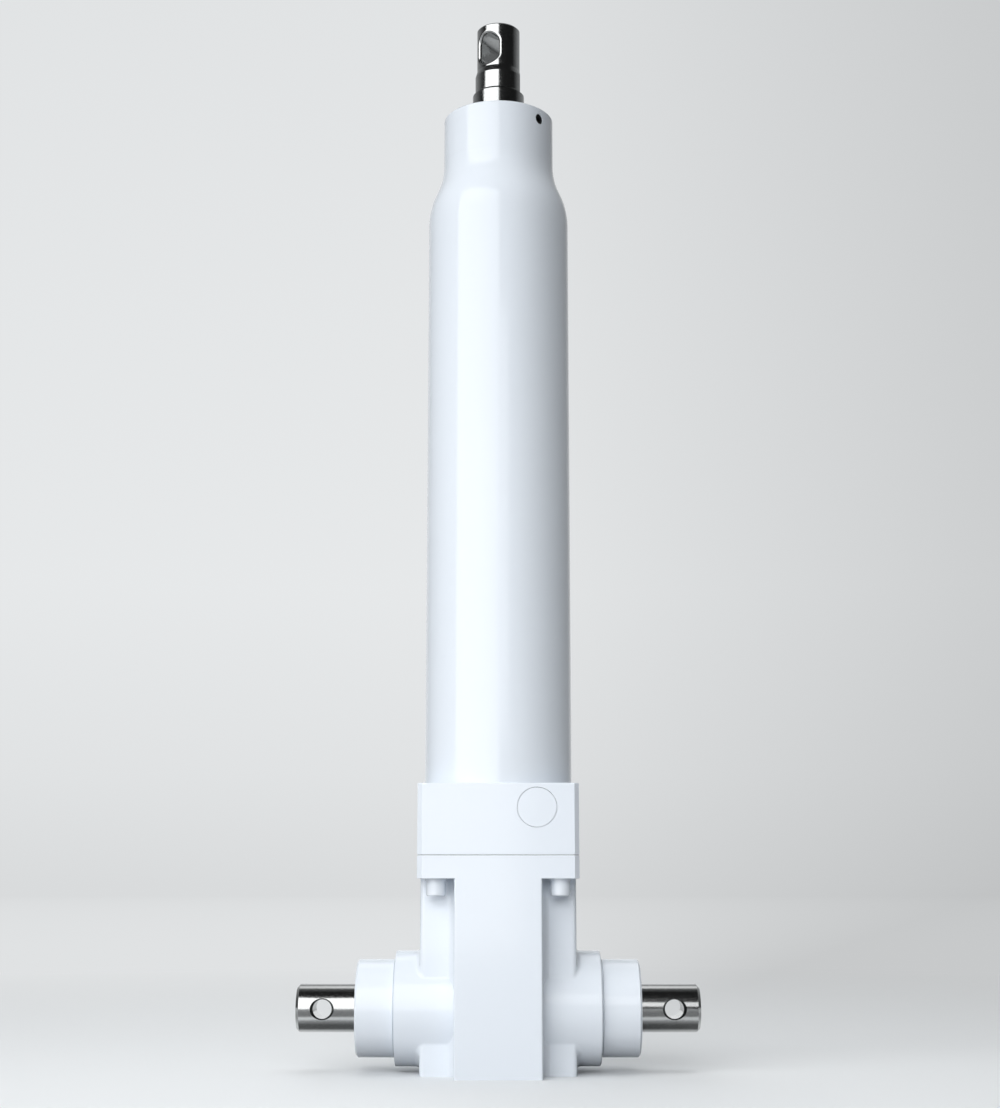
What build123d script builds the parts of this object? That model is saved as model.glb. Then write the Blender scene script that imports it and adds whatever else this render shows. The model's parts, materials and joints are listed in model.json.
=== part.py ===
from build123d import *
import math
import os

# Screw-driven linear actuator with a double-ended cross shaft and a mitre gearbox.
# Millimetres. +Z is the stroke direction, X is along the input shaft, -Y is the front.
# The origin is the centre of the gearbox's base face. The rod is fully retracted.

# Gearbox casting
BASE_HALF_WIDTH = 41.0
RECESS_HALF_DEPTH = 25.0
RIB_HALF_WIDTH = 22.8
BLOCK_HALF_WIDTH = 42.2
BLOCK_HALF_DEPTH = 42.0
BLOCK_CORNER = 2.5
LUG_UNDERSIDE_Z = 100.8
JOINT_Z = 112.5
SHAFT_Z = 33.0
BOSS_RADIUS = 30.0
BOSS_END_X = 54.3
WAIST_CORNER = 2.5
RIB_FILLET = 5.0
RIB_ROOT_SINK = 0.15
CASTING_EDGE = 1.0
BOSS_ROOT_FILLET = 2.8
MACHINED_EDGE = 0.5
THROAT_RADIUS = 22.0

# Base fixing holes, tapped M8
BASE_HOLE_RADIUS = 3.4
BASE_HOLE_DEPTH = 16.0
BASE_HOLE_X = 15.0
BASE_HOLE_Y = 32.0

# Tube flange (the square block that carries the outer tube)
GASKET_THICKNESS = 0.5
GASKET_INSET = 0.4
GASKET_BORE_PLAY = 0.5
FLANGE_Z = JOINT_Z + GASKET_THICKNESS
FLANGE_TOP_Z = 150.0
CHAMBER_FLOOR_Z = 122.0
CHAMBER_RADIUS = 32.0
TUBE_SEAT_Z = 141.0
TUBE_SEAT_RADIUS = 38.5

# Round grease-port plug, flush in the flange's front face
PLUG_X = 20.2
PLUG_Z = 137.4
PLUG_RADIUS = 10.2
PLUG_DEPTH = 3.5
PORT_RADIUS = 2.5

# Flange screws, M6
FLANGE_SCREW_X = 32.5
FLANGE_SCREW_Y = 33.0
M6_RADIUS = 3.0
M6_HEAD_RADIUS = 5.0
M6_HEAD_HEIGHT = 6.0
M6_SOCKET_ACROSS_FLATS = 5.0
M6_SOCKET_DEPTH = 3.0
M6_HEAD_EDGE = 0.6
M6_LENGTH = 30.0
M6_CLEARANCE_RADIUS = 3.3
PLAIN_WASHER_THICKNESS = 1.4
PLAIN_WASHER_RADII = (3.2, 5.6)
SPRING_WASHER_THICKNESS = 1.6
SPRING_WASHER_RADII = (3.1, 4.9)
SPRING_WASHER_SLIT = 0.6
SPRING_WASHER_SLANT = 25.0

# Outer tube
TUBE_RADIUS = 40.0
TUBE_BORE_RADIUS = 35.0
SWAGE_START_Z = 470.0
SWAGE_END_Z = 507.0
NECK_RADIUS = 31.5
NECK_BORE_RADIUS = 26.5
NECK_TOP_Z = 535.0
NECK_RIM = 0.8
INNER_SWAGE_START_Z = 473.0
BUSH_Z = 497.0

# Guide bush lock screw, M6
LOCK_SCREW_AZIMUTH = 48.0
LOCK_SCREW_Z = 528.0
LOCK_SCREW_RADIUS = 3.0
LOCK_SCREW_SOCKET = 3.0
LOCK_SCREW_REACH = 2.0
LOCK_SCREW_RECESS = 0.6

# Rod wiper in the bush's mouth, and the bumper that ends the stroke
WIPER_Z = 529.0
WIPER_RADIUS = 20.0
WIPER_BODY = 1.2
BUMPER_LENGTH = 3.5
BUMPER_ROD_PLAY = 1.0
BUMPER_WALL_PLAY = 1.5

# Input shaft and its caps
SHAFT_RADIUS = 12.5
SHAFT_END_X = 107.0
SHAFT_CHAMFER = 1.5
CROSS_HOLE_X = 93.0
CROSS_HOLE_RADIUS = 5.0
CROSS_HOLE_MOUTH_RADIUS = 6.35
CROSS_HOLE_MOUTH_DEPTH = 2.3
CAP_RADIUS = 25.5
CAP_END_X = 75.0
CAP_EDGE = 1.0
CAP_LAND_RADIUS = 14.0
CAP_GROOVE_RADIUS = 24.6
CAP_GROOVE_WIDTH = 0.8
SEAL_OUTER_RADIUS = 20.0
SEAL_WIDTH = 7.0
SEAL_INNER_X = 58.0
SEAL_BODY = 1.5
O_RING_SECTION = 0.9
O_RING_PLAY = 0.3
O_RING_X = 51.2
SHAFT_GROOVE_X = 66.5
SHAFT_GROOVE_RADIUS = 12.2
SHAFT_GROOVE_WIDTH = 0.6
CIRCLIP_THICKNESS = 1.2
CIRCLIP_DEPTH = 1.0
CIRCLIP_HEIGHT = 2.6
CIRCLIP_GAP = 7.0

# Bearings: bore radius, outside radius, width, ball radius, balls
INPUT_BEARING = (12.5, 23.5, 12.0, 3.2, 11)
SCREW_BEARING = (8.5, 23.5, 14.0, 4.3, 9)
INPUT_BEARING_X = 36.0
SCREW_BEARING_Z = 78.0
SCREW_SHOULDER_Z = SCREW_BEARING_Z + 2 * SCREW_BEARING[2]
BALL_PLAY = 0.12
RING_LAND_SHARE = 0.6
CAGE_WIDTH_SHARE = 1.25
CAGE_WALL_SHARE = 0.25

# Mitre gear pair
MODULE = 2.0
TEETH = 20
FACE_WIDTH = 6.5
PRESSURE_ANGLE = 20.0
PITCH_CONE_ANGLE = 45.0
DEDENDUM = 1.25
GEAR_BACK_DROP = 2.6
DRIVE_FRONT_INSET = 1.75
DRIVEN_FRONT_INSET = 1.5
BACKLASH = 0.6
DRIVE_HUB_RADIUS = 17.5
DRIVE_HUB_END = INPUT_BEARING_X
DRIVEN_HUB_RADIUS = 13.0
DRIVEN_HUB_END = 36.0
DRIVEN_BORE_RADIUS = 7.5
DRIVE_PIN_X = 30.0
DRIVE_PIN_RADIUS = 2.5
DRIVEN_PIN_Z = 63.0
DRIVEN_PIN_RADIUS = 2.0
PIN_INSET = 0.75

# Lead screw, 22 mm trapezoidal, 5 mm lead
SCREW_RADIUS = 11.0
LEAD = 5.0
THREAD_DEPTH = 2.75
THREAD_FLANK_ANGLE = 15.0
THREAD_CREST_SHARE = 0.366
JOURNAL_TOP_Z = 70.0
SCREW_BOTTOM_Z = 49.0
THREAD_START_Z = 125.0
THREAD_END_Z = 480.0
SCREW_TOP_Z = 492.0
TIP_JOURNAL_RADIUS = 6.0
TIP_GUIDE_Z = 484.0
TIP_GUIDE_LENGTH = 6.5
TIP_GROOVE_DEPTH = 0.5
TIP_CLIP_THICKNESS = 0.8
TIP_CLIP_HEIGHT = 2.0
LOCK_NUT_RADIUS = 14.0
LOCK_NUT_HEIGHT = 6.0
LOCK_NUT_SLOT = 4.0
LOCK_WASHER_THICKNESS = 1.0
LOCK_WASHER_TABS = 9
LOCK_WASHER_TAB = (3.5, 2.6)

# Rod: push tube, eye end and drive nut
ROD_RADIUS = 15.0
ROD_BORE_RADIUS = 12.5
ROD_TOP_Z = 552.0
ROD_TOP_CHAMFER = 1.6
NUT_Z = 152.0
NUT_TOP_Z = 192.0
NUT_RADIUS = 24.0
NUT_COLLAR_RADIUS = 30.0
NUT_COLLAR_THICKNESS = 5.0
ROD_SEAT_Z = 170.0
GUIDE_RING_RADIUS = 34.9
GUIDE_RING_TOP_Z = 170.0
NUT_SCREW_Z = 187.0
NUT_SCREW_SOCKET = 2.5
NUT_SCREW_INSET = 1.0
NUT_GROOVE_DEPTH = 1.2
GUIDE_CLIP_THICKNESS = 1.5
GUIDE_CLIP_HEIGHT = 3.5
GUIDE_CLIP_GAP = (10.0, 12.0)
M5_RADIUS = 2.5
EYE_TOP_Z = 592.0
EYE_RADIUS = 12.5
EYE_EDGE = 1.0
EYE_ROOT_RADIUS = 13.5
EYE_ROOT_FLAT = 12.6
EYE_ROOT_TOP_Z = 562.2
EYE_TAPER_TOP_Z = 565.8
EYE_SPIGOT_Z = 528.0
EYE_SLOT_WIDTH = 12.0
EYE_SLOT_HEIGHT = 19.0
EYE_SLOT_Z = 577.2
EYE_SLOT_EDGE = 1.4
EYE_AZIMUTH = -33.0

# Small clearances
FIT_GAP = 0.03
RUNNING_GAP = 0.06
SEAL_GAP = 0.12
CUT_MARGIN = 1.0


def cylinder_z(radius, z_low, z_high, x=0.0, y=0.0):
    height = z_high - z_low
    return Pos(x, y, (z_low + z_high) / 2) * Cylinder(radius, height)


def cylinder_x(radius, x_low, x_high):
    height = x_high - x_low
    return Pos((x_low + x_high) / 2, 0, SHAFT_Z) * Rot(0, 90, 0) * Cylinder(radius, height)


def ring_z(inner_radius, outer_radius, z_low, z_high):
    return cylinder_z(outer_radius, z_low, z_high) - cylinder_z(inner_radius, z_low, z_high)


def ring_x(inner_radius, outer_radius, x_low, x_high):
    return cylinder_x(outer_radius, x_low, x_high) - cylinder_x(inner_radius, x_low, x_high)


def revolved(points):
    """Solid of revolution about Z from (radius, z) points."""
    outline = Polyline(*[(radius, 0, z) for radius, z in points], close=True)
    return revolve(make_face(outline), Axis.Z)


def on_shaft_axis(solid, side=1):
    """Turn a solid built about Z onto the input shaft's axis, pointing to +X or -X."""
    return Pos(0, 0, SHAFT_Z) * Rot(0, 90 * side, 0) * solid


def four_corners(make):
    """One copy of a piece at each flange screw."""
    pieces = []
    for x in (-FLANGE_SCREW_X, FLANGE_SCREW_X):
        for y in (-FLANGE_SCREW_Y, FLANGE_SCREW_Y):
            pieces.append(Pos(x, y, 0) * make())
    return pieces


def hex_prism(across_flats, depth):
    outline = RegularPolygon(across_flats / 2, 6, major_radius=False)
    return extrude(outline, depth)


def block_plan(inset=0.0):
    """Plan of the square flange with its cut corners."""
    plan = Rectangle(2 * (BLOCK_HALF_WIDTH - inset), 2 * (BLOCK_HALF_DEPTH - inset))
    return chamfer(plan.vertices(), BLOCK_CORNER)


def is_boss_root(edge):
    """True for the edges where the shaft boss runs into the housing's walls."""
    for share in (0.1, 0.5, 0.9):
        point = edge.position_at(share)
        if abs(point.X) > BASE_HALF_WIDTH + 0.1 or abs(point.Z - SHAFT_Z) < 1e-3:
            return False
        if abs(math.hypot(point.Y, point.Z - SHAFT_Z) - BOSS_RADIUS) > 0.01:
            return False
    return True


def rib_plan():
    """Plan of the central rib, front to back. Its root fillets end just inside the recessed walls."""
    root_y = RECESS_HALF_DEPTH - RIB_ROOT_SINK
    plan = Rectangle(2 * BASE_HALF_WIDTH, 2 * root_y)
    plan += Rectangle(2 * RIB_HALF_WIDTH, 2 * BLOCK_HALF_DEPTH)
    roots = [v for v in plan.vertices() if abs(abs(v.X) - RIB_HALF_WIDTH) < 0.01
             and abs(abs(v.Y) - root_y) < 0.01]
    plan = fillet(roots, RIB_FILLET)
    corners = [v for v in plan.vertices() if abs(abs(v.Y) - BLOCK_HALF_DEPTH) < 0.01]
    plan = fillet(corners, CASTING_EDGE)
    return plan & Rectangle(2 * (RIB_HALF_WIDTH + RIB_FILLET), 3 * BLOCK_HALF_DEPTH)


def gear_housing():
    waist = Rectangle(2 * BASE_HALF_WIDTH, 2 * RECESS_HALF_DEPTH)
    body = extrude(fillet(waist.vertices(), WAIST_CORNER), LUG_UNDERSIDE_Z)
    body += cylinder_x(BOSS_RADIUS, -BOSS_END_X, BOSS_END_X)
    body = fillet([e for e in body.edges() if is_boss_root(e)], BOSS_ROOT_FILLET)
    body += extrude(rib_plan(), LUG_UNDERSIDE_Z)
    ends = body.edges().filter_by(GeomType.CIRCLE).filter_by_position(Axis.X, BOSS_END_X, BOSS_END_X)
    ends += body.edges().filter_by(GeomType.CIRCLE).filter_by_position(Axis.X, -BOSS_END_X, -BOSS_END_X)
    body = fillet(ends, CASTING_EDGE)
    lugs = Pos(0, 0, LUG_UNDERSIDE_Z) * extrude(block_plan(), JOINT_Z - LUG_UNDERSIDE_Z)
    body += chamfer(lugs.edges().group_by(Axis.Z)[-1], MACHINED_EDGE / 2)
    body -= cylinder_z(THROAT_RADIUS, SHAFT_Z, JOINT_Z)
    body -= cylinder_z(SCREW_BEARING[1] + FIT_GAP, SCREW_BEARING_Z, JOINT_Z)
    bore = INPUT_BEARING[1] + FIT_GAP
    body -= cylinder_x(bore, DRIVEN_HUB_RADIUS / 2, BOSS_END_X)
    body -= cylinder_x(bore, -BOSS_END_X, -INPUT_BEARING_X)
    body -= cylinder_x(SEAL_OUTER_RADIUS, -INPUT_BEARING_X, DRIVEN_HUB_RADIUS)
    for hole in four_corners(lambda: cylinder_z(M6_CLEARANCE_RADIUS, LUG_UNDERSIDE_Z, JOINT_Z)):
        body -= hole
    for x in (-BASE_HOLE_X, BASE_HOLE_X):
        for y in (-BASE_HOLE_Y, BASE_HOLE_Y):
            body -= cylinder_z(BASE_HOLE_RADIUS, 0, BASE_HOLE_DEPTH, x, y)
    return body


def flange_gasket():
    sheet = Pos(0, 0, JOINT_Z) * extrude(block_plan(GASKET_INSET), GASKET_THICKNESS)
    sheet -= cylinder_z(SCREW_BEARING[1] + GASKET_BORE_PLAY, JOINT_Z, FLANGE_Z)
    for hole in four_corners(lambda: cylinder_z(M6_CLEARANCE_RADIUS, JOINT_Z, FLANGE_Z)):
        sheet -= hole
    return sheet


def tube_flange():
    block = Pos(0, 0, FLANGE_Z) * extrude(block_plan(), FLANGE_TOP_Z - FLANGE_Z)
    block = chamfer(block.edges().group_by(Axis.Z)[0], MACHINED_EDGE / 2)
    block = fillet(block.edges().group_by(Axis.Z)[-1], MACHINED_EDGE)
    block += cylinder_z(SCREW_BEARING[1] - FIT_GAP, SCREW_SHOULDER_Z, FLANGE_Z)
    block -= cylinder_z(SEAL_OUTER_RADIUS, SCREW_SHOULDER_Z, CHAMBER_FLOOR_Z)
    block -= cylinder_z(CHAMBER_RADIUS, CHAMBER_FLOOR_Z, TUBE_SEAT_Z)
    block -= cylinder_z(TUBE_SEAT_RADIUS + FIT_GAP, TUBE_SEAT_Z, FLANGE_TOP_Z)
    port = Pos(PLUG_X, -BLOCK_HALF_DEPTH, PLUG_Z) * Rot(90, 0, 0)
    block -= port * Cylinder(PLUG_RADIUS + 2 * SEAL_GAP, 2 * PLUG_DEPTH)
    block -= port * Cylinder(PORT_RADIUS, 2 * (BLOCK_HALF_DEPTH - SEAL_OUTER_RADIUS))
    tap_top = LUG_UNDERSIDE_Z + M6_LENGTH
    for hole in four_corners(lambda: cylinder_z(M6_RADIUS + FIT_GAP, FLANGE_Z, tap_top)):
        block -= hole
    return block


def grease_plug():
    centre_y = -BLOCK_HALF_DEPTH + PLUG_DEPTH / 2
    return Pos(PLUG_X, centre_y, PLUG_Z) * Rot(90, 0, 0) * Cylinder(PLUG_RADIUS, PLUG_DEPTH)


def flange_screws():
    seat_z = LUG_UNDERSIDE_Z - PLAIN_WASHER_THICKNESS - SPRING_WASHER_THICKNESS
    head_z = seat_z - M6_HEAD_HEIGHT

    def screw():
        head = cylinder_z(M6_HEAD_RADIUS, head_z, seat_z)
        head = chamfer(head.edges().filter_by(GeomType.CIRCLE).sort_by(Axis.Z)[0], M6_HEAD_EDGE)
        shank = cylinder_z(M6_RADIUS, seat_z, seat_z + M6_LENGTH)
        socket = Pos(0, 0, head_z) * hex_prism(M6_SOCKET_ACROSS_FLATS, M6_SOCKET_DEPTH)
        return head + shank - socket

    return four_corners(screw)


def plain_washers():
    top = LUG_UNDERSIDE_Z
    return four_corners(lambda: ring_z(*PLAIN_WASHER_RADII, top - PLAIN_WASHER_THICKNESS, top))


def spring_washers():
    top = LUG_UNDERSIDE_Z - PLAIN_WASHER_THICKNESS
    low = top - SPRING_WASHER_THICKNESS
    reach = SPRING_WASHER_RADII[1]
    slit = Box(2 * reach, SPRING_WASHER_SLIT, 4 * SPRING_WASHER_THICKNESS)
    cut = Pos(reach, 0, low) * Rot(SPRING_WASHER_SLANT, 0, 0) * slit
    return four_corners(lambda: ring_z(*SPRING_WASHER_RADII, low, top) - cut)


def ogee(radius_low, radius_high, z_low, z_high):
    """Two equal tangent arcs that join two coaxial walls."""
    middle = ((radius_low + radius_high) / 2, (z_low + z_high) / 2)
    lower = TangentArc((radius_low, z_low), middle, tangent=(0, 1))
    upper = TangentArc((radius_high, z_high), middle, tangent=(0, -1))
    return lower, upper


def outer_tube():
    outer_low, outer_high = ogee(TUBE_RADIUS, NECK_RADIUS, SWAGE_START_Z, SWAGE_END_Z)
    inner_low, inner_high = ogee(TUBE_BORE_RADIUS, NECK_BORE_RADIUS, INNER_SWAGE_START_Z, BUSH_Z)
    foot = Polyline((TUBE_BORE_RADIUS, INNER_SWAGE_START_Z), (TUBE_BORE_RADIUS, TUBE_SEAT_Z),
                    (TUBE_SEAT_RADIUS, TUBE_SEAT_Z), (TUBE_SEAT_RADIUS, FLANGE_TOP_Z),
                    (TUBE_RADIUS, FLANGE_TOP_Z), (TUBE_RADIUS, SWAGE_START_Z))
    top = Polyline((NECK_RADIUS, SWAGE_END_Z), (NECK_RADIUS, NECK_TOP_Z - NECK_RIM),
                   (NECK_RADIUS - NECK_RIM, NECK_TOP_Z), (NECK_BORE_RADIUS, NECK_TOP_Z),
                   (NECK_BORE_RADIUS, BUSH_Z))
    outline = make_face(foot + outer_low + outer_high + top + inner_high + inner_low)
    tube = revolve(Plane.XZ * outline, Axis.Z)
    return tube - lock_screw_bore(NECK_BORE_RADIUS - CUT_MARGIN, NECK_RADIUS + CUT_MARGIN, LOCK_SCREW_RADIUS)


def lock_screw_bore(radius_low, radius_high, bore_radius):
    """Radial cylinder at the guide bush lock screw, between two distances from the tube's axis."""
    length = radius_high - radius_low
    radial = Pos(0, -(radius_low + radius_high) / 2, LOCK_SCREW_Z) * Rot(90, 0, 0)
    return Rot(0, 0, LOCK_SCREW_AZIMUTH) * radial * Cylinder(bore_radius, length)


def guide_lock_screw():
    inner_end = NECK_BORE_RADIUS - LOCK_SCREW_REACH
    outer_end = NECK_RADIUS - LOCK_SCREW_RECESS
    screw = lock_screw_bore(inner_end, outer_end, LOCK_SCREW_RADIUS - FIT_GAP)
    socket = Pos(0, -outer_end, LOCK_SCREW_Z) * Rot(-90, 0, 0)
    socket *= hex_prism(LOCK_SCREW_SOCKET, LOCK_SCREW_SOCKET)
    return screw - Rot(0, 0, LOCK_SCREW_AZIMUTH) * socket


def guide_bush():
    bush = ring_z(ROD_RADIUS + RUNNING_GAP, NECK_BORE_RADIUS - FIT_GAP, BUSH_Z, NECK_TOP_Z)
    bush -= cylinder_z(WIPER_RADIUS, WIPER_Z, NECK_TOP_Z)
    seat = NECK_BORE_RADIUS - LOCK_SCREW_REACH
    return bush - lock_screw_bore(seat, NECK_BORE_RADIUS + CUT_MARGIN, LOCK_SCREW_RADIUS)


def rod_wiper():
    lip = ROD_RADIUS + SEAL_GAP
    body = lip + WIPER_BODY
    outside = WIPER_RADIUS - FIT_GAP
    lip_top = NECK_TOP_Z - WIPER_BODY / 2
    return revolved([(body, WIPER_Z), (outside, WIPER_Z), (outside, NECK_TOP_Z), (body, NECK_TOP_Z),
                     (lip, lip_top), (lip, lip_top - WIPER_BODY)])


def extend_bumper():
    return ring_z(ROD_RADIUS + BUMPER_ROD_PLAY, NECK_BORE_RADIUS - BUMPER_WALL_PLAY,
                  BUSH_Z - BUMPER_LENGTH, BUSH_Z)


def bearing_cap(side):
    """Cap with a spigot in the housing, an O-ring groove, a seal pocket and a land round the shaft."""
    spigot_x = INPUT_BEARING_X + INPUT_BEARING[2]
    spigot_radius = INPUT_BEARING[1] - FIT_GAP
    o_groove_radius = spigot_radius - 2 * O_RING_SECTION - FIT_GAP
    o_groove_half = O_RING_SECTION + O_RING_PLAY
    pocket_radius = SEAL_OUTER_RADIUS + FIT_GAP
    pocket_end = SEAL_INNER_X + SEAL_WIDTH
    step_x = BOSS_END_X + CAP_GROOVE_WIDTH
    profile = [(pocket_radius, spigot_x), (spigot_radius, spigot_x),
               (spigot_radius, O_RING_X - o_groove_half), (o_groove_radius, O_RING_X - o_groove_half),
               (o_groove_radius, O_RING_X + o_groove_half), (spigot_radius, O_RING_X + o_groove_half),
               (spigot_radius, BOSS_END_X), (CAP_GROOVE_RADIUS, BOSS_END_X),
               (CAP_GROOVE_RADIUS, step_x), (CAP_RADIUS, step_x),
               (CAP_RADIUS, CAP_END_X - CAP_EDGE), (CAP_RADIUS - CAP_EDGE, CAP_END_X),
               (CAP_LAND_RADIUS, CAP_END_X), (CAP_LAND_RADIUS, pocket_end), (pocket_radius, pocket_end)]
    return on_shaft_axis(revolved(profile), side)


def cap_o_rings():
    ring = Pos(0, 0, O_RING_X) * Torus(INPUT_BEARING[1] - FIT_GAP - O_RING_SECTION, O_RING_SECTION)
    return [on_shaft_axis(ring, side) for side in (-1, 1)]


def shaft_seals():
    """Lip seals against the shaft, one in each cap's pocket."""
    lip = SHAFT_RADIUS + SEAL_GAP
    body = lip + SEAL_BODY
    front = SEAL_INNER_X + 2 * SEAL_BODY
    back = SEAL_INNER_X + SEAL_WIDTH
    seal = revolved([(body, SEAL_INNER_X), (SEAL_OUTER_RADIUS, SEAL_INNER_X), (SEAL_OUTER_RADIUS, back),
                     (body, back), (lip, back - SEAL_BODY), (lip, front)])
    return [on_shaft_axis(seal, side) for side in (-1, 1)]


def ball_bearing(sizes):
    """Inner ring, outer ring, balls and cage of a bearing about Z with its first face at z = 0."""
    bore, outside, width, ball, count = sizes
    pitch = (bore + outside) / 2
    land = RING_LAND_SHARE * ball
    groove = Pos(0, 0, width / 2) * Torus(pitch, ball + BALL_PLAY)
    inner = ring_z(bore + FIT_GAP, pitch - land, 0, width) - groove
    outer = ring_z(pitch + land, outside, 0, width) - groove
    centres = [Rot(0, 0, 360 * i / count) * Pos(pitch, 0, width / 2) for i in range(count)]
    balls = [place * Sphere(ball) for place in centres]
    cage_half_width = CAGE_WIDTH_SHARE * ball
    cage_wall = CAGE_WALL_SHARE * ball
    cage = ring_z(pitch - cage_wall, pitch + cage_wall, -cage_half_width, cage_half_width)
    cage = Pos(0, 0, width / 2) * cage
    for place in centres:
        cage -= place * Rot(0, 90, 0) * Cylinder(ball + BALL_PLAY, 2 * ball)
    return inner, outer, balls, cage


def placed(pieces, places):
    """Copies of each piece at each place."""
    return [place * piece for place in places for piece in pieces]


def bearing_set(sizes, places):
    """Inner rings, outer rings, balls and cages of equal bearings at several places."""
    inner, outer, balls, cage = ball_bearing(sizes)
    return placed([inner], places), placed([outer], places), placed(balls, places), placed([cage], places)


def input_bearing_pieces():
    along = Pos(0, 0, SHAFT_Z)
    places = [along * Rot(0, 90 * side, 0) * Pos(0, 0, INPUT_BEARING_X) for side in (-1, 1)]
    return bearing_set(INPUT_BEARING, places)


def screw_bearing_pieces():
    places = [Pos(0, 0, SCREW_BEARING_Z + row * SCREW_BEARING[2]) for row in (0, 1)]
    return bearing_set(SCREW_BEARING, places)


def tooth_space(scale):
    """Section of the gap between two teeth, across the pitch cone, scaled about the cone's apex."""
    pitch_radius = MODULE * TEETH / 2
    virtual_teeth = TEETH / math.cos(math.radians(PITCH_CONE_ANGLE))
    flank = math.tan(math.radians(PRESSURE_ANGLE + 90 / virtual_teeth))
    half = math.pi * MODULE / 4 + BACKLASH / 2
    top = 2.0 * MODULE
    bottom = -DEDENDUM * MODULE
    corners = [(half + bottom * flank, bottom), (half + top * flank, top),
               (-half - top * flank, top), (-half - bottom * flank, bottom)]
    outward = Vector(math.sqrt(0.5), 0, -math.sqrt(0.5))
    centre = Vector(pitch_radius, 0, pitch_radius)
    points = [(centre + outward * height + Vector(0, width, 0)) * scale for width, height in corners]
    return make_face(Polyline(*points, close=True))


def mitre_gear(bore_radius, hub_radius, hub_end, front_z, first_tooth):
    """Straight bevel gear about Z, apex of its pitch cone at the origin, back towards +Z."""
    pitch_radius = MODULE * TEETH / 2
    cone_distance = pitch_radius * math.sqrt(2)
    small = 1 - FACE_WIDTH / cone_distance
    rise = MODULE * math.sqrt(0.5)
    tip = (pitch_radius + rise, pitch_radius - rise)
    back_drop = min(tip[0] - hub_radius - MACHINED_EDGE, GEAR_BACK_DROP * MODULE)
    front_radius = tip[0] * small - (front_z - tip[1] * small)
    blank = revolved([(bore_radius, front_z), (front_radius, front_z), (tip[0] * small, tip[1] * small), tip,
                      (tip[0] - back_drop, tip[1] + back_drop), (hub_radius, tip[1] + back_drop),
                      (hub_radius, hub_end), (bore_radius, hub_end)])
    space = loft([tooth_space(small * 0.9), tooth_space(1.12)])
    for i in range(TEETH):
        blank -= Rot(0, 0, (i + first_tooth) * 360 / TEETH) * space
    return blank


def drive_pin_at(radius, length):
    return Pos(DRIVE_PIN_X, 0, SHAFT_Z) * Rot(90, 0, 0) * Cylinder(radius, length)


def driven_pin_at(radius, length):
    return Pos(0, 0, DRIVEN_PIN_Z) * Rot(0, 90, 0) * Cylinder(radius, length)


def drive_gear():
    """Turned so that one of its teeth lies in the plane of both gears' axes, towards the driven gear."""
    front_z = MODULE * TEETH / 2 - DRIVE_FRONT_INSET
    gear = mitre_gear(SHAFT_RADIUS + FIT_GAP, DRIVE_HUB_RADIUS, DRIVE_HUB_END, front_z, 0.5)
    return on_shaft_axis(gear) - drive_pin_at(DRIVE_PIN_RADIUS, 3 * DRIVE_HUB_RADIUS)


def driven_gear():
    gear = mitre_gear(DRIVEN_BORE_RADIUS + FIT_GAP, DRIVEN_HUB_RADIUS, DRIVEN_HUB_END,
                      SCREW_BOTTOM_Z - SHAFT_Z + DRIVEN_FRONT_INSET, 0.0)
    return Pos(0, 0, SHAFT_Z) * gear - driven_pin_at(DRIVEN_PIN_RADIUS, 3 * DRIVEN_HUB_RADIUS)


def shaft_circlip():
    face_x = -INPUT_BEARING_X
    clip = ring_x(SHAFT_RADIUS - CIRCLIP_DEPTH, SHAFT_RADIUS + CIRCLIP_HEIGHT, face_x,
                  face_x + CIRCLIP_THICKNESS)
    gap = Box(4 * CIRCLIP_THICKNESS, CIRCLIP_GAP, CIRCLIP_GAP)
    return clip - Pos(face_x, 0, SHAFT_Z - SHAFT_RADIUS) * gap


def cross_hole():
    """Hole through the shaft along Z, with a wide cone at both mouths."""
    slope = (CROSS_HOLE_MOUTH_RADIUS - CROSS_HOLE_RADIUS) / CROSS_HOLE_MOUTH_DEPTH
    outer = SHAFT_RADIUS + CUT_MARGIN
    outer_radius = CROSS_HOLE_MOUTH_RADIUS + slope * CUT_MARGIN
    neck = SHAFT_RADIUS - CROSS_HOLE_MOUTH_DEPTH
    return revolved([(0, -outer), (outer_radius, -outer), (CROSS_HOLE_RADIUS, -neck),
                     (CROSS_HOLE_RADIUS, neck), (outer_radius, outer), (0, outer)])


def input_shaft():
    shaft = cylinder_x(SHAFT_RADIUS, -SHAFT_END_X, SHAFT_END_X)
    shaft = chamfer(shaft.edges().filter_by(GeomType.CIRCLE), SHAFT_CHAMFER)
    beyond = SHAFT_RADIUS + CUT_MARGIN
    shaft -= ring_x(SHAFT_RADIUS - CIRCLIP_DEPTH - FIT_GAP, beyond, -INPUT_BEARING_X,
                    -INPUT_BEARING_X + CIRCLIP_THICKNESS)
    half = SHAFT_GROOVE_WIDTH / 2
    for x in (-SHAFT_GROOVE_X, SHAFT_GROOVE_X):
        shaft -= ring_x(SHAFT_GROOVE_RADIUS, beyond, x - half, x + half)
    for x in (-CROSS_HOLE_X, CROSS_HOLE_X):
        shaft -= Pos(x, 0, SHAFT_Z) * Rot(90, 0, 0) * cross_hole()
    return shaft - drive_pin_at(DRIVE_PIN_RADIUS, 3 * DRIVE_HUB_RADIUS)


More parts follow.
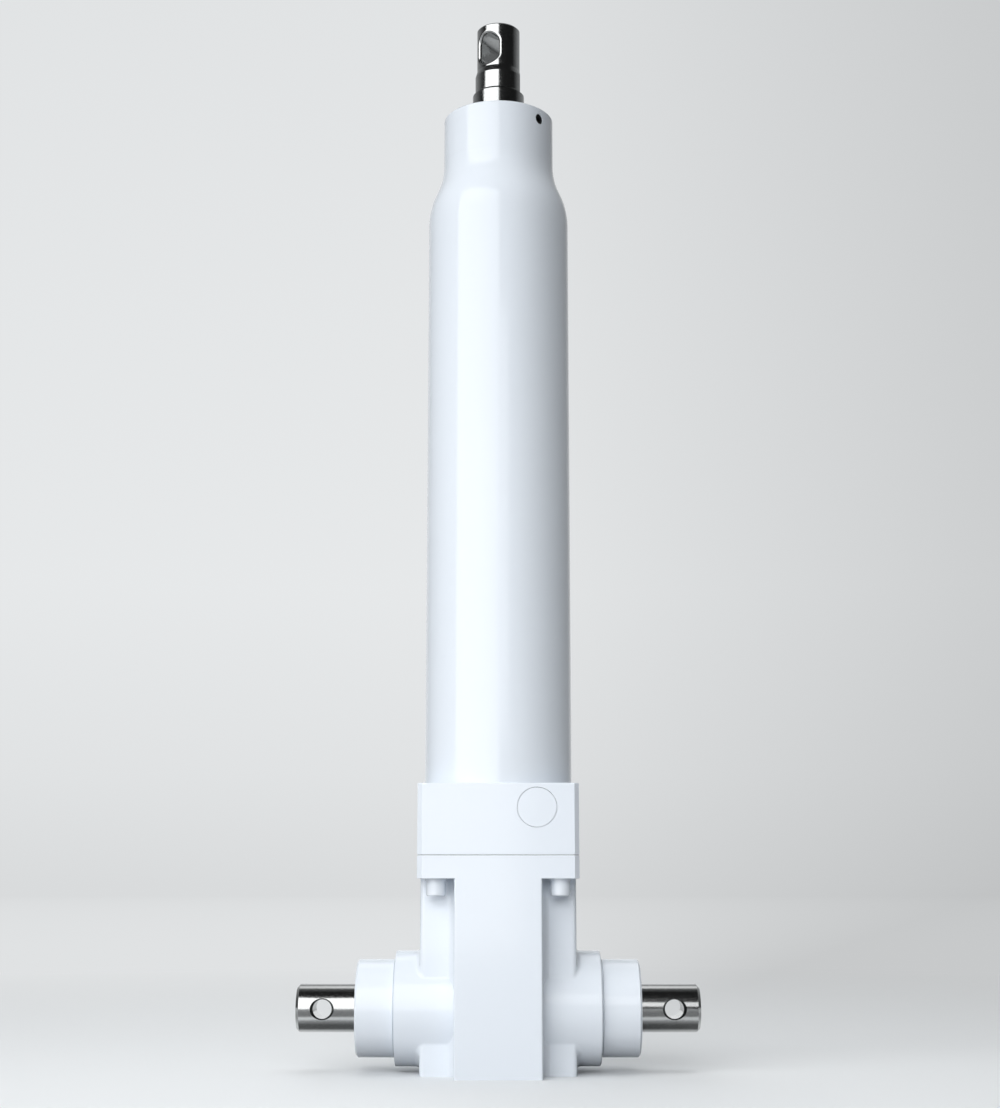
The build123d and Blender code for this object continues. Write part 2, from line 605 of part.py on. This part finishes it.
def lead_screw():
    root = SCREW_RADIUS - THREAD_DEPTH
    crest = LEAD * THREAD_CREST_SHARE
    flank = THREAD_DEPTH * math.tan(math.radians(THREAD_FLANK_ANGLE))
    outline = [(0, SCREW_BOTTOM_Z), (DRIVEN_BORE_RADIUS, SCREW_BOTTOM_Z),
               (DRIVEN_BORE_RADIUS, JOURNAL_TOP_Z), (SCREW_BEARING[0], JOURNAL_TOP_Z),
               (SCREW_BEARING[0], SCREW_SHOULDER_Z), (SCREW_RADIUS, SCREW_SHOULDER_Z)]
    turns = round((THREAD_END_Z - THREAD_START_Z) / LEAD)
    for turn in range(turns):
        z = THREAD_START_Z + turn * LEAD
        outline += [(SCREW_RADIUS, z), (root, z + flank), (root, z + LEAD - crest - flank),
                    (SCREW_RADIUS, z + LEAD - crest)]
    groove_z = TIP_GUIDE_Z + TIP_GUIDE_LENGTH
    groove_radius = TIP_JOURNAL_RADIUS - TIP_GROOVE_DEPTH
    groove_top = groove_z + TIP_CLIP_THICKNESS
    outline += [(SCREW_RADIUS, TIP_GUIDE_Z), (TIP_JOURNAL_RADIUS, TIP_GUIDE_Z),
                (TIP_JOURNAL_RADIUS, groove_z), (groove_radius, groove_z), (groove_radius, groove_top),
                (TIP_JOURNAL_RADIUS, groove_top), (TIP_JOURNAL_RADIUS, SCREW_TOP_Z), (0, SCREW_TOP_Z)]
    return revolved(outline) - driven_pin_at(DRIVEN_PIN_RADIUS, 3 * DRIVEN_HUB_RADIUS)


def screw_tip_guide():
    return ring_z(TIP_JOURNAL_RADIUS + FIT_GAP, ROD_BORE_RADIUS - RUNNING_GAP, TIP_GUIDE_Z,
                  TIP_GUIDE_Z + TIP_GUIDE_LENGTH)


def tip_circlip():
    low = TIP_GUIDE_Z + TIP_GUIDE_LENGTH
    clip = ring_z(TIP_JOURNAL_RADIUS - TIP_GROOVE_DEPTH + FIT_GAP, TIP_JOURNAL_RADIUS + TIP_CLIP_HEIGHT, low,
                  low + TIP_CLIP_THICKNESS)
    gap = Box(TIP_JOURNAL_RADIUS / 2, TIP_JOURNAL_RADIUS, TIP_JOURNAL_RADIUS)
    return clip - Pos(0, TIP_JOURNAL_RADIUS, low) * gap


def bearing_lock_nut():
    """Slotted ring nut under the screw bearings."""
    slots = 4
    slot = Box(LOCK_NUT_SLOT, LOCK_NUT_SLOT, 2 * LOCK_NUT_HEIGHT)
    top = SCREW_BEARING_Z - LOCK_WASHER_THICKNESS
    nut = ring_z(SCREW_BEARING[0] + FIT_GAP, LOCK_NUT_RADIUS, top - LOCK_NUT_HEIGHT, top)
    for i in range(slots):
        nut -= Rot(0, 0, i * 360 / slots) * Pos(LOCK_NUT_RADIUS, 0, top) * slot
    return nut


def bearing_lock_washer():
    """Tab washer between the ring nut and the bearings."""
    low = SCREW_BEARING_Z - LOCK_WASHER_THICKNESS
    washer = ring_z(SCREW_BEARING[0] + FIT_GAP, LOCK_NUT_RADIUS - 1.0, low, SCREW_BEARING_Z)
    tab = Pos(LOCK_NUT_RADIUS, 0, low + LOCK_WASHER_THICKNESS / 2)
    tab *= Box(*LOCK_WASHER_TAB, LOCK_WASHER_THICKNESS)
    for i in range(LOCK_WASHER_TABS):
        washer += Rot(0, 0, (i + 0.25) * 360 / LOCK_WASHER_TABS) * tab
    return washer


def nut_screw_holes(radius, low, high):
    """Two radial cylinders that lock the push tube in the drive nut."""
    hole = Pos((low + high) / 2, 0, NUT_SCREW_Z) * Rot(0, 90, 0) * Cylinder(radius, high - low)
    return [Rot(0, 0, side) * hole for side in (0, 180)]


def drive_nut():
    nut = cylinder_z(NUT_RADIUS, NUT_Z, NUT_TOP_Z)
    nut += cylinder_z(NUT_COLLAR_RADIUS, NUT_Z, NUT_Z + NUT_COLLAR_THICKNESS)
    nut -= cylinder_z(SCREW_RADIUS + RUNNING_GAP, NUT_Z, ROD_SEAT_Z)
    nut -= cylinder_z(ROD_RADIUS + FIT_GAP, ROD_SEAT_Z, NUT_TOP_Z)
    nut -= ring_z(NUT_RADIUS - NUT_GROOVE_DEPTH, NUT_RADIUS + CUT_MARGIN, GUIDE_RING_TOP_Z,
                  GUIDE_RING_TOP_Z + GUIDE_CLIP_THICKNESS)
    return nut - nut_screw_holes(M5_RADIUS, ROD_RADIUS - CUT_MARGIN, NUT_RADIUS + CUT_MARGIN)


def nut_lock_screws():
    inner_end = ROD_RADIUS - NUT_SCREW_INSET
    outer_end = NUT_RADIUS - NUT_SCREW_INSET
    socket = Pos(outer_end, 0, NUT_SCREW_Z) * Rot(0, -90, 0)
    socket *= hex_prism(NUT_SCREW_SOCKET, NUT_SCREW_SOCKET)
    screws = nut_screw_holes(M5_RADIUS - FIT_GAP, inner_end, outer_end)
    return [screw - Rot(0, 0, side) * socket for side, screw in zip((0, 180), screws)]


def guide_ring():
    return ring_z(NUT_RADIUS + FIT_GAP, GUIDE_RING_RADIUS, NUT_Z + NUT_COLLAR_THICKNESS, GUIDE_RING_TOP_Z)


def guide_circlip():
    groove_radius = NUT_RADIUS - NUT_GROOVE_DEPTH
    clip = ring_z(groove_radius + FIT_GAP, NUT_RADIUS + GUIDE_CLIP_HEIGHT, GUIDE_RING_TOP_Z,
                  GUIDE_RING_TOP_Z + GUIDE_CLIP_THICKNESS)
    return clip - Pos(0, NUT_RADIUS, GUIDE_RING_TOP_Z) * Box(*GUIDE_CLIP_GAP, 4 * GUIDE_CLIP_THICKNESS)


def push_tube():
    tube = revolved([(ROD_BORE_RADIUS, ROD_SEAT_Z), (ROD_RADIUS, ROD_SEAT_Z),
                     (ROD_RADIUS, ROD_TOP_Z - ROD_TOP_CHAMFER), (ROD_RADIUS - ROD_TOP_CHAMFER, ROD_TOP_Z),
                     (ROD_BORE_RADIUS, ROD_TOP_Z)])
    return tube - nut_screw_holes(M5_RADIUS, ROD_RADIUS - CUT_MARGIN, ROD_RADIUS + CUT_MARGIN)


def is_slot_mouth(edge):
    """True for the edges where the slot breaks through the rod end's round wall."""
    points = [edge.position_at(share) for share in (0.1, 0.5, 0.9)]
    on_wall = all(abs(math.hypot(p.X, p.Y) - EYE_RADIUS) < 0.01 for p in points)
    in_slot = all(abs(p.Z - EYE_SLOT_Z) < EYE_SLOT_HEIGHT / 2 + 0.01 for p in points)
    return on_wall and in_slot


def rod_end():
    """Solid end with a rounded slot through it, turned left of the front, and a flat on its root."""
    spigot = ROD_BORE_RADIUS - FIT_GAP
    end = revolved([(0, EYE_SPIGOT_Z), (spigot, EYE_SPIGOT_Z), (spigot, ROD_TOP_Z),
                    (EYE_ROOT_RADIUS, ROD_TOP_Z), (EYE_ROOT_RADIUS, EYE_ROOT_TOP_Z),
                    (EYE_RADIUS, EYE_TAPER_TOP_Z), (EYE_RADIUS, EYE_TOP_Z - EYE_EDGE),
                    (EYE_RADIUS - EYE_EDGE, EYE_TOP_Z), (0, EYE_TOP_Z)])
    plan = SlotOverall(EYE_SLOT_HEIGHT, EYE_SLOT_WIDTH, rotation=90)
    slot = Pos(0, 0, EYE_SLOT_Z) * Rot(90, 0, 0) * extrude(plan, 2 * EYE_RADIUS, both=True)
    end -= slot
    end = fillet([edge for edge in end.edges() if is_slot_mouth(edge)], EYE_SLOT_EDGE)
    flat_depth = EYE_ROOT_RADIUS - EYE_ROOT_FLAT
    flat_height = EYE_TAPER_TOP_Z - ROD_TOP_Z
    flat = Box(2 * flat_depth, 2 * EYE_ROOT_RADIUS, 2 * flat_height)
    return Rot(0, 0, EYE_AZIMUTH) * end - Pos(EYE_ROOT_FLAT + flat_depth, 0, ROD_TOP_Z + flat_height) * flat


def save(name, pieces):
    shape = Compound(children=list(pieces)) if isinstance(pieces, (list, tuple)) else pieces
    export_step(shape, os.path.join("parts", name + ".step"))


def main():
    os.makedirs("parts", exist_ok=True)
    input_inner, input_outer, input_balls, input_cages = input_bearing_pieces()
    screw_inner, screw_outer, screw_balls, screw_cages = screw_bearing_pieces()
    nodes = {
        "gear_housing": gear_housing(),
        "flange_gasket": flange_gasket(),
        "tube_flange": tube_flange(),
        "outer_tube": outer_tube(),
        "grease_plug": grease_plug(),
        "flange_screws": flange_screws(),
        "flange_spring_washers": spring_washers(),
        "flange_plain_washers": plain_washers(),
        "guide_bush": guide_bush(),
        "guide_lock_screw": guide_lock_screw(),
        "rod_wiper": rod_wiper(),
        "extend_bumper": extend_bumper(),
        "bearing_cap_left": bearing_cap(-1),
        "bearing_cap_right": bearing_cap(1),
        "cap_o_rings": cap_o_rings(),
        "shaft_seals": shaft_seals(),
        "input_bearing_outer_rings": input_outer,
        "screw_bearing_outer_rings": screw_outer,
        "input_shaft": input_shaft(),
        "drive_gear": drive_gear(),
        "drive_gear_pin": drive_pin_at(DRIVE_PIN_RADIUS - FIT_GAP, 2 * (DRIVE_HUB_RADIUS - PIN_INSET)),
        "shaft_circlip": shaft_circlip(),
        "input_bearing_inner_rings": input_inner,
        "input_bearing_balls": input_balls,
        "input_bearing_cages": input_cages,
        "lead_screw": lead_screw(),
        "driven_gear": driven_gear(),
        "driven_gear_pin": driven_pin_at(DRIVEN_PIN_RADIUS - FIT_GAP, 2 * (DRIVEN_HUB_RADIUS - PIN_INSET)),
        "bearing_lock_nut": bearing_lock_nut(),
        "bearing_lock_washer": bearing_lock_washer(),
        "screw_bearing_inner_rings": screw_inner,
        "screw_bearing_balls": screw_balls,
        "screw_bearing_cages": screw_cages,
        "screw_tip_guide": screw_tip_guide(),
        "tip_circlip": tip_circlip(),
        "push_tube": push_tube(),
        "rod_end": rod_end(),
        "drive_nut": drive_nut(),
        "nut_lock_screws": nut_lock_screws(),
        "guide_ring": guide_ring(),
        "guide_circlip": guide_circlip(),
    }
    for name, pieces in nodes.items():
        save(name, pieces)


main()
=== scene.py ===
import json
import math

import bpy
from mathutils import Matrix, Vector

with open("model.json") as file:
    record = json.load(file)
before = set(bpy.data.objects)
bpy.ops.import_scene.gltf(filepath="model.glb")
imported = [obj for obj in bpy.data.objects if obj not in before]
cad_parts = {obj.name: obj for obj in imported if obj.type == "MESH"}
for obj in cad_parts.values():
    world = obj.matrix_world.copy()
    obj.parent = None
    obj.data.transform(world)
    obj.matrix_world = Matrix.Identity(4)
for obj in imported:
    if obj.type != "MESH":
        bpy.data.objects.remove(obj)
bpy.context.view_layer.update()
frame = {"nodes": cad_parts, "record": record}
nodes = frame["nodes"]

# ---------------------------------------------------------------- camera
IMAGE_HEIGHT = 1108
FOCAL_PIXELS = 1800
SENSOR_MM = 36.0
CAMERA_DISTANCE = 0.988
CAMERA_HEIGHT = 0.0976
CAMERA_SIDE = 0.0009
CAMERA_PITCH = 10.41


def make_camera():
    data = bpy.data.cameras.new("camera")
    data.sensor_fit = "VERTICAL"
    data.sensor_height = SENSOR_MM
    data.sensor_width = SENSOR_MM
    data.lens = FOCAL_PIXELS / IMAGE_HEIGHT * SENSOR_MM
    camera = bpy.data.objects.new("camera", data)
    camera.location = (CAMERA_SIDE, -CAMERA_DISTANCE, CAMERA_HEIGHT)
    camera.rotation_euler = (math.radians(90 + CAMERA_PITCH), 0, 0)
    bpy.context.scene.collection.objects.link(camera)
    bpy.context.scene.camera = camera


# ---------------------------------------------------------------- node helpers
def new_material(name):
    material = bpy.data.materials.new(name)
    material.use_nodes = True
    tree = material.node_tree
    return material, tree, tree.nodes["Principled BSDF"]


def add(tree, kind, **settings):
    """New node, with each setting given to the input or the property of that name."""
    node = tree.nodes.new(kind)
    for key, value in settings.items():
        if key in node.inputs:
            node.inputs[key].default_value = value
        else:
            setattr(node, key, value)
    return node


def object_coordinates(tree):
    return add(tree, "ShaderNodeTexCoord").outputs["Object"]


def component(tree, vector, axis):
    split = add(tree, "ShaderNodeSeparateXYZ")
    tree.links.new(vector, split.inputs["Vector"])
    return split.outputs[axis]


def noise(tree, vector, scale, detail, roughness=0.5):
    texture = add(tree, "ShaderNodeTexNoise", Scale=scale, Detail=detail, Roughness=roughness)
    tree.links.new(vector, texture.inputs["Vector"])
    return texture.outputs["Fac"]


def remap(tree, value, low, high, from_low=0.3, from_high=0.7):
    """The default input range is the one that most of a noise texture's values lie in."""
    node = add(tree, "ShaderNodeMapRange")
    node.inputs["From Min"].default_value = from_low
    node.inputs["From Max"].default_value = from_high
    node.inputs["To Min"].default_value = low
    node.inputs["To Max"].default_value = high
    tree.links.new(value, node.inputs["Value"])
    return node.outputs["Result"]


def colour_between(tree, value, first, second):
    blend = add(tree, "ShaderNodeMix", data_type="RGBA")
    blend.inputs["A"].default_value = (*first, 1)
    blend.inputs["B"].default_value = (*second, 1)
    tree.links.new(value, blend.inputs["Factor"])
    return blend.outputs["Result"]


def mix_shaders(tree, amount, first, second):
    blend = add(tree, "ShaderNodeMixShader")
    tree.links.new(amount, blend.inputs["Fac"])
    tree.links.new(first, blend.inputs[1])
    tree.links.new(second, blend.inputs[2])
    return blend.outputs["Shader"]


def bump(tree, shader, height, strength, distance):
    node = add(tree, "ShaderNodeBump", Strength=strength, Distance=distance)
    tree.links.new(height, node.inputs["Height"])
    tree.links.new(node.outputs["Normal"], shader.inputs["Normal"])


# ---------------------------------------------------------------- materials
# Noise scales are per metre, and bump depths are in metres.
PAINT_DRIFT_SCALE = 9.0
PAINT_GLOSS_SCALE = 160.0
PAINT_PEEL_SCALE = 420.0
PAINT_PEEL_DEPTH = 0.0004
GROUND_DEPTH = 0.0002
GRAIN_DEPTH = 0.0003

# Light and dark tone, roughness and strength of the orange peel.
PAINTS = {
    "white_paint": ((0.765, 0.82, 0.885), (0.745, 0.80, 0.865), 0.09, 0.03),
    "white_paint_screw": ((0.755, 0.805, 0.865), (0.72, 0.77, 0.83), 0.16, 0.05),
}
# Dark and light tone, roughness, grain scale and grain strength.
GROUND_METALS = {
    "polished_stainless": ((0.50, 0.51, 0.51), (0.62, 0.63, 0.63), 0.16, 900.0, 0.12),
    "tube_stainless": ((0.46, 0.47, 0.47), (0.58, 0.59, 0.59), 0.16, 900.0, 0.10),
    "alloy_steel": ((0.26, 0.26, 0.27), (0.42, 0.42, 0.43), 0.30, 700.0, 0.15),
    "gear_steel": ((0.20, 0.20, 0.22), (0.34, 0.34, 0.36), 0.34, 500.0, 0.2),
    "bearing_steel": ((0.52, 0.53, 0.55), (0.68, 0.69, 0.71), 0.12, 800.0, 0.05),
    "cage_brass": ((0.48, 0.34, 0.13), (0.66, 0.49, 0.22), 0.28, 600.0, 0.1),
    "spring_steel": ((0.10, 0.10, 0.11), (0.22, 0.22, 0.23), 0.34, 600.0, 0.15),
}
# Dark and light tone, metallic, roughness, grain scale and grain strength.
GRAINY_SOLIDS = {
    "bronze": ((0.40, 0.24, 0.10), (0.58, 0.38, 0.17), 1.0, 0.36, 700.0, 0.15),
    "black_oxide": ((0.015, 0.015, 0.017), (0.04, 0.04, 0.045), 0.8, 0.42, 600.0, 0.15),
    "seal_rubber": ((0.012, 0.012, 0.013), (0.03, 0.03, 0.032), 0.0, 0.62, 500.0, 0.2),
    "bumper_urethane": ((0.36, 0.20, 0.05), (0.50, 0.30, 0.08), 0.0, 0.5, 300.0, 0.1),
    "guide_acetal": ((0.72, 0.71, 0.65), (0.82, 0.81, 0.76), 0.0, 0.42, 250.0, 0.08),
    "gasket_paper": ((0.46, 0.48, 0.49), (0.58, 0.60, 0.61), 0.0, 0.8, 900.0, 0.3),
}


def paint(name, light, dark, roughness, peel):
    """Gloss powder coat with a slight drift in tone and a fine orange peel."""
    material, tree, shader = new_material(name)
    place = object_coordinates(tree)
    drift = noise(tree, place, PAINT_DRIFT_SCALE, 3.0)
    tree.links.new(colour_between(tree, drift, light, dark), shader.inputs["Base Color"])
    gloss = remap(tree, noise(tree, place, PAINT_GLOSS_SCALE, 2.0), roughness * 0.8, roughness * 1.2)
    tree.links.new(gloss, shader.inputs["Roughness"])
    bump(tree, shader, noise(tree, place, PAINT_PEEL_SCALE, 2.0), peel, PAINT_PEEL_DEPTH)
    return material


def ground_metal(name, dark, light, roughness, scale, strength):
    """Turned, ground or polished metal: fine noise breaks up its colour and gloss."""
    material, tree, shader = new_material(name)
    shader.inputs["Metallic"].default_value = 1.0
    cut = noise(tree, object_coordinates(tree), scale, 4.0, 0.6)
    colour = colour_between(tree, remap(tree, cut, 0, 1), dark, light)
    tree.links.new(colour, shader.inputs["Base Color"])
    gloss = remap(tree, cut, roughness * 0.75, roughness * 1.3)
    tree.links.new(gloss, shader.inputs["Roughness"])
    bump(tree, shader, cut, strength, GROUND_DEPTH)
    return material


def grainy_solid(name, dark, light, metallic, roughness, scale, strength):
    """Grainy solid such as bronze, rubber, acetal or gasket paper."""
    material, tree, shader = new_material(name)
    shader.inputs["Metallic"].default_value = metallic
    grain = noise(tree, object_coordinates(tree), scale, 5.0, 0.6)
    colour = colour_between(tree, remap(tree, grain, 0, 1), dark, light)
    tree.links.new(colour, shader.inputs["Base Color"])
    gloss = remap(tree, grain, roughness * 0.85, roughness * 1.15)
    tree.links.new(gloss, shader.inputs["Roughness"])
    bump(tree, shader, grain, strength, GRAIN_DEPTH)
    return material


def dress_nodes():
    """Gives each CAD node the finish of its material slot in the record."""
    finishes = {name: paint(name, *values) for name, values in PAINTS.items()}
    finishes |= {name: ground_metal(name, *values) for name, values in GROUND_METALS.items()}
    finishes |= {name: grainy_solid(name, *values) for name, values in GRAINY_SOLIDS.items()}
    for entry in frame["record"]["subparts"]:
        for slot in nodes[entry["node"]].material_slots:
            slot.material = finishes[entry["material_slot"]]


# ---------------------------------------------------------------- studio
STUDIO_TINT = (0.98, 1.0, 1.012)
# Tone of the backdrop against the sine of the height above the horizon.
BACKDROP_TONES = ((0.0, 0.71), (0.06, 0.765), (0.16, 0.81), (0.31, 0.795), (0.46, 0.77), (1.0, 0.74))
# Painted shade: the backdrop and the far floor fall to this share of their tone over this span of the
# direction's X.
RIGHT_SIDE_PAINTED_SHADE = 0.77
RIGHT_SIDE_PAINTED_SHADE_SPAN = (-0.02, 0.27)
# Tone of the room that lights the object, against how far behind the object it is.
ROOM_TONES = ((0.0, 0.015), (0.2, 0.09), (0.6, 0.26), (0.8, 0.34), (1.0, 0.95))
ROOM_SPAN = (-0.1, 1.0)

FLOOR_SIZE = 400
FLOOR_COLOUR = (0.82, 0.845, 0.86)
# Colour that the floor bounces onto the object.
FLOOR_BOUNCE_COLOUR = (0.46, 0.465, 0.47)
# The lit floor fades into a plain tone over the first span, in metres from the object, and that
# tone goes from this one to the backdrop's over the second.
FLOOR_FADE_SPAN = (0.25, 1.2)
FLOOR_FAR_TONE = 0.76
FLOOR_FAR_SPAN = (2.0, 15.0)
# Painted reflection: painted light and shadow bands on the floor, seen only in gloss, give the shafts
# their reflected bands; tone of the floor from in front of them to behind them.
FLOOR_PAINTED_REFLECTION_SPAN = (-0.2, 0.05)
FLOOR_PAINTED_REFLECTION_TONES = ((0.0, 0.40), (0.32, 0.30), (0.60, 0.28), (0.64, 1.0), (0.67, 1.0), (0.70, 0.45),
                     (0.75, 0.16), (0.81, 0.16), (0.85, 0.6), (0.90, 0.95), (1.0, 0.7))


def painted_side_shade(tree, direction):
    """Painted shade: share of the backdrop's tone, which falls off a little towards the right."""
    return remap(tree, component(tree, direction, "X"), 1.0, RIGHT_SIDE_PAINTED_SHADE, *RIGHT_SIDE_PAINTED_SHADE_SPAN)


def tone_ramp(tree, value, tones):
    ramp = add(tree, "ShaderNodeValToRGB")
    stops = ramp.color_ramp.elements
    while len(stops) < len(tones):
        stops.new(0.5)
    for stop, (position, tone) in zip(stops, tones):
        stop.position = position
        stop.color = (*(tone * tint for tint in STUDIO_TINT), 1)
    tree.links.new(value, ramp.inputs["Fac"])
    return ramp.outputs["Color"]


def far_floor(tree, place, distance):
    """Plain tone of the floor far behind the object, which runs into the backdrop's."""
    direction = add(tree, "ShaderNodeVectorMath", operation="NORMALIZE")
    tree.links.new(place, direction.inputs[0])
    glow = add(tree, "ShaderNodeEmission")
    tones = ((0.0, FLOOR_FAR_TONE), (1.0, BACKDROP_TONES[0][1]))
    reach = remap(tree, distance, 0, 1, *FLOOR_FAR_SPAN)
    tree.links.new(tone_ramp(tree, reach, tones), glow.inputs["Color"])
    # Painted shade: the far floor darkens towards the right.
    tree.links.new(painted_side_shade(tree, direction.outputs["Vector"]), glow.inputs["Strength"])
    return glow.outputs["Emission"]


def floor_bounce_and_painted_reflection(tree, place, ray):
    """Dimmer floor that lights the object, with painted light and shadow bands for gloss alone, which
    paint reflections into the shafts.
    """
    depth = remap(tree, component(tree, place, "Y"), 0, 1, *FLOOR_PAINTED_REFLECTION_SPAN)
    shade = add(tree, "ShaderNodeMix", data_type="RGBA")
    shade.inputs["A"].default_value = (*FLOOR_BOUNCE_COLOUR, 1)
    # Painted reflection: glossy rays see the banded tones in place of the floor's bounce colour.
    tree.links.new(tone_ramp(tree, depth, FLOOR_PAINTED_REFLECTION_TONES), shade.inputs["B"])
    tree.links.new(ray.outputs["Is Glossy Ray"], shade.inputs["Factor"])
    dim = add(tree, "ShaderNodeBsdfDiffuse")
    tree.links.new(shade.outputs["Result"], dim.inputs["Color"])
    return dim.outputs["BSDF"]


def make_floor():
    """Pale floor as it is seen, which fades into the backdrop, and a dimmer one for light, with painted
    reflection bands for gloss.
    """
    material, tree, shader = new_material("studio_floor")
    shader.inputs["Base Color"].default_value = (*FLOOR_COLOUR, 1)
    shader.inputs["Roughness"].default_value = 0.7
    shader.inputs["Specular IOR Level"].default_value = 0.2
    place = object_coordinates(tree)
    length = add(tree, "ShaderNodeVectorMath", operation="LENGTH")
    tree.links.new(place, length.inputs[0])
    distance = length.outputs["Value"]
    ray = add(tree, "ShaderNodeLightPath")
    fade = remap(tree, distance, 0, 1, *FLOOR_FADE_SPAN)
    seen_floor = mix_shaders(tree, fade, shader.outputs["BSDF"], far_floor(tree, place, distance))
    surface = mix_shaders(tree, ray.outputs["Is Camera Ray"], floor_bounce_and_painted_reflection(tree, place, ray), seen_floor)
    tree.links.new(surface, tree.nodes["Material Output"].inputs["Surface"])
    bpy.ops.mesh.primitive_plane_add(size=FLOOR_SIZE, location=(0, 0, 0))
    floor = bpy.context.object
    floor.name = "studio_floor"
    floor.data.materials.append(material)


def make_world():
    """The backdrop as it is seen, and a dark room with a lit back for light and gloss."""
    world = bpy.data.worlds.new("studio")
    bpy.context.scene.world = world
    world.use_nodes = True
    tree = world.node_tree
    direction = add(tree, "ShaderNodeTexCoord").outputs["Generated"]
    room = add(tree, "ShaderNodeBackground")
    behind = remap(tree, component(tree, direction, "Y"), 0, 1, *ROOM_SPAN)
    tree.links.new(tone_ramp(tree, behind, ROOM_TONES), room.inputs["Color"])
    backdrop = tree.nodes["Background"]
    height = component(tree, direction, "Z")
    tree.links.new(tone_ramp(tree, height, BACKDROP_TONES), backdrop.inputs["Color"])
    # Painted shade: the backdrop darkens towards the right.
    tree.links.new(painted_side_shade(tree, direction), backdrop.inputs["Strength"])
    ray = add(tree, "ShaderNodeLightPath")
    surface = mix_shaders(tree, ray.outputs["Is Camera Ray"], room.outputs["Background"],
                          backdrop.outputs["Background"])
    tree.links.new(surface, tree.nodes["World Output"].inputs["Surface"])
    bpy.context.scene.view_settings.view_transform = "Standard"


def area_light(name, azimuth, distance, height, aim, size, power, spread=180, gloss=True, diffuse=True):
    """Softbox aimed at a height on the object's axis. Azimuth 0 is in front of the object,
    and positive is to its right. Gloss and diffuse say which of the two it lights."""
    data = bpy.data.lights.new(name, "AREA")
    data.shape = "RECTANGLE"
    data.size, data.size_y = size
    data.energy = power
    data.spread = math.radians(spread)
    light = bpy.data.objects.new(name, data)
    turn = math.radians(azimuth)
    light.location = (distance * math.sin(turn), -distance * math.cos(turn), height)
    line = Vector((0, 0, aim)) - light.location
    light.rotation_euler = line.to_track_quat("-Z", "Y").to_euler()
    light.visible_camera = False
    light.visible_glossy = gloss
    light.visible_diffuse = diffuse
    bpy.context.scene.collection.objects.link(light)


def make_lights():
    area_light("key", azimuth=-34, distance=1.5, height=1.05, aim=1.05, size=(2.1, 2.1), power=28.5)
    area_light("soft", azimuth=-18, distance=1.6, height=1.0, aim=0.4, size=(1.6, 1.6), power=4,
               gloss=False)
    area_light("back", azimuth=-165, distance=1.7, height=1.2, aim=0.3, size=(1.4, 1.4), power=9,
               gloss=False)
    area_light("top", azimuth=0, distance=0.01, height=2.2, aim=0.0, size=(1.8, 1.8), power=19,
               gloss=False)
    # Lights the bosses and the floor in front of them.
    area_light("front", azimuth=-4, distance=1.0, height=0.45, aim=0.03, size=(0.8, 0.4), power=0.45,
               spread=60, gloss=False)
    # Dim edge on the right of the key's reflection in the tube and the rod.
    area_light("panel", azimuth=9, distance=1.5, height=0.6, aim=0.6, size=(0.36, 0.6), power=0.9)
    # Light line along the top of the input shafts.
    area_light("strip", azimuth=180, distance=0.16, height=0.32, aim=0.045, size=(0.6, 0.14),
               power=0.013, spread=40, diffuse=False)


make_camera()
make_world()
make_floor()
make_lights()
dress_nodes()
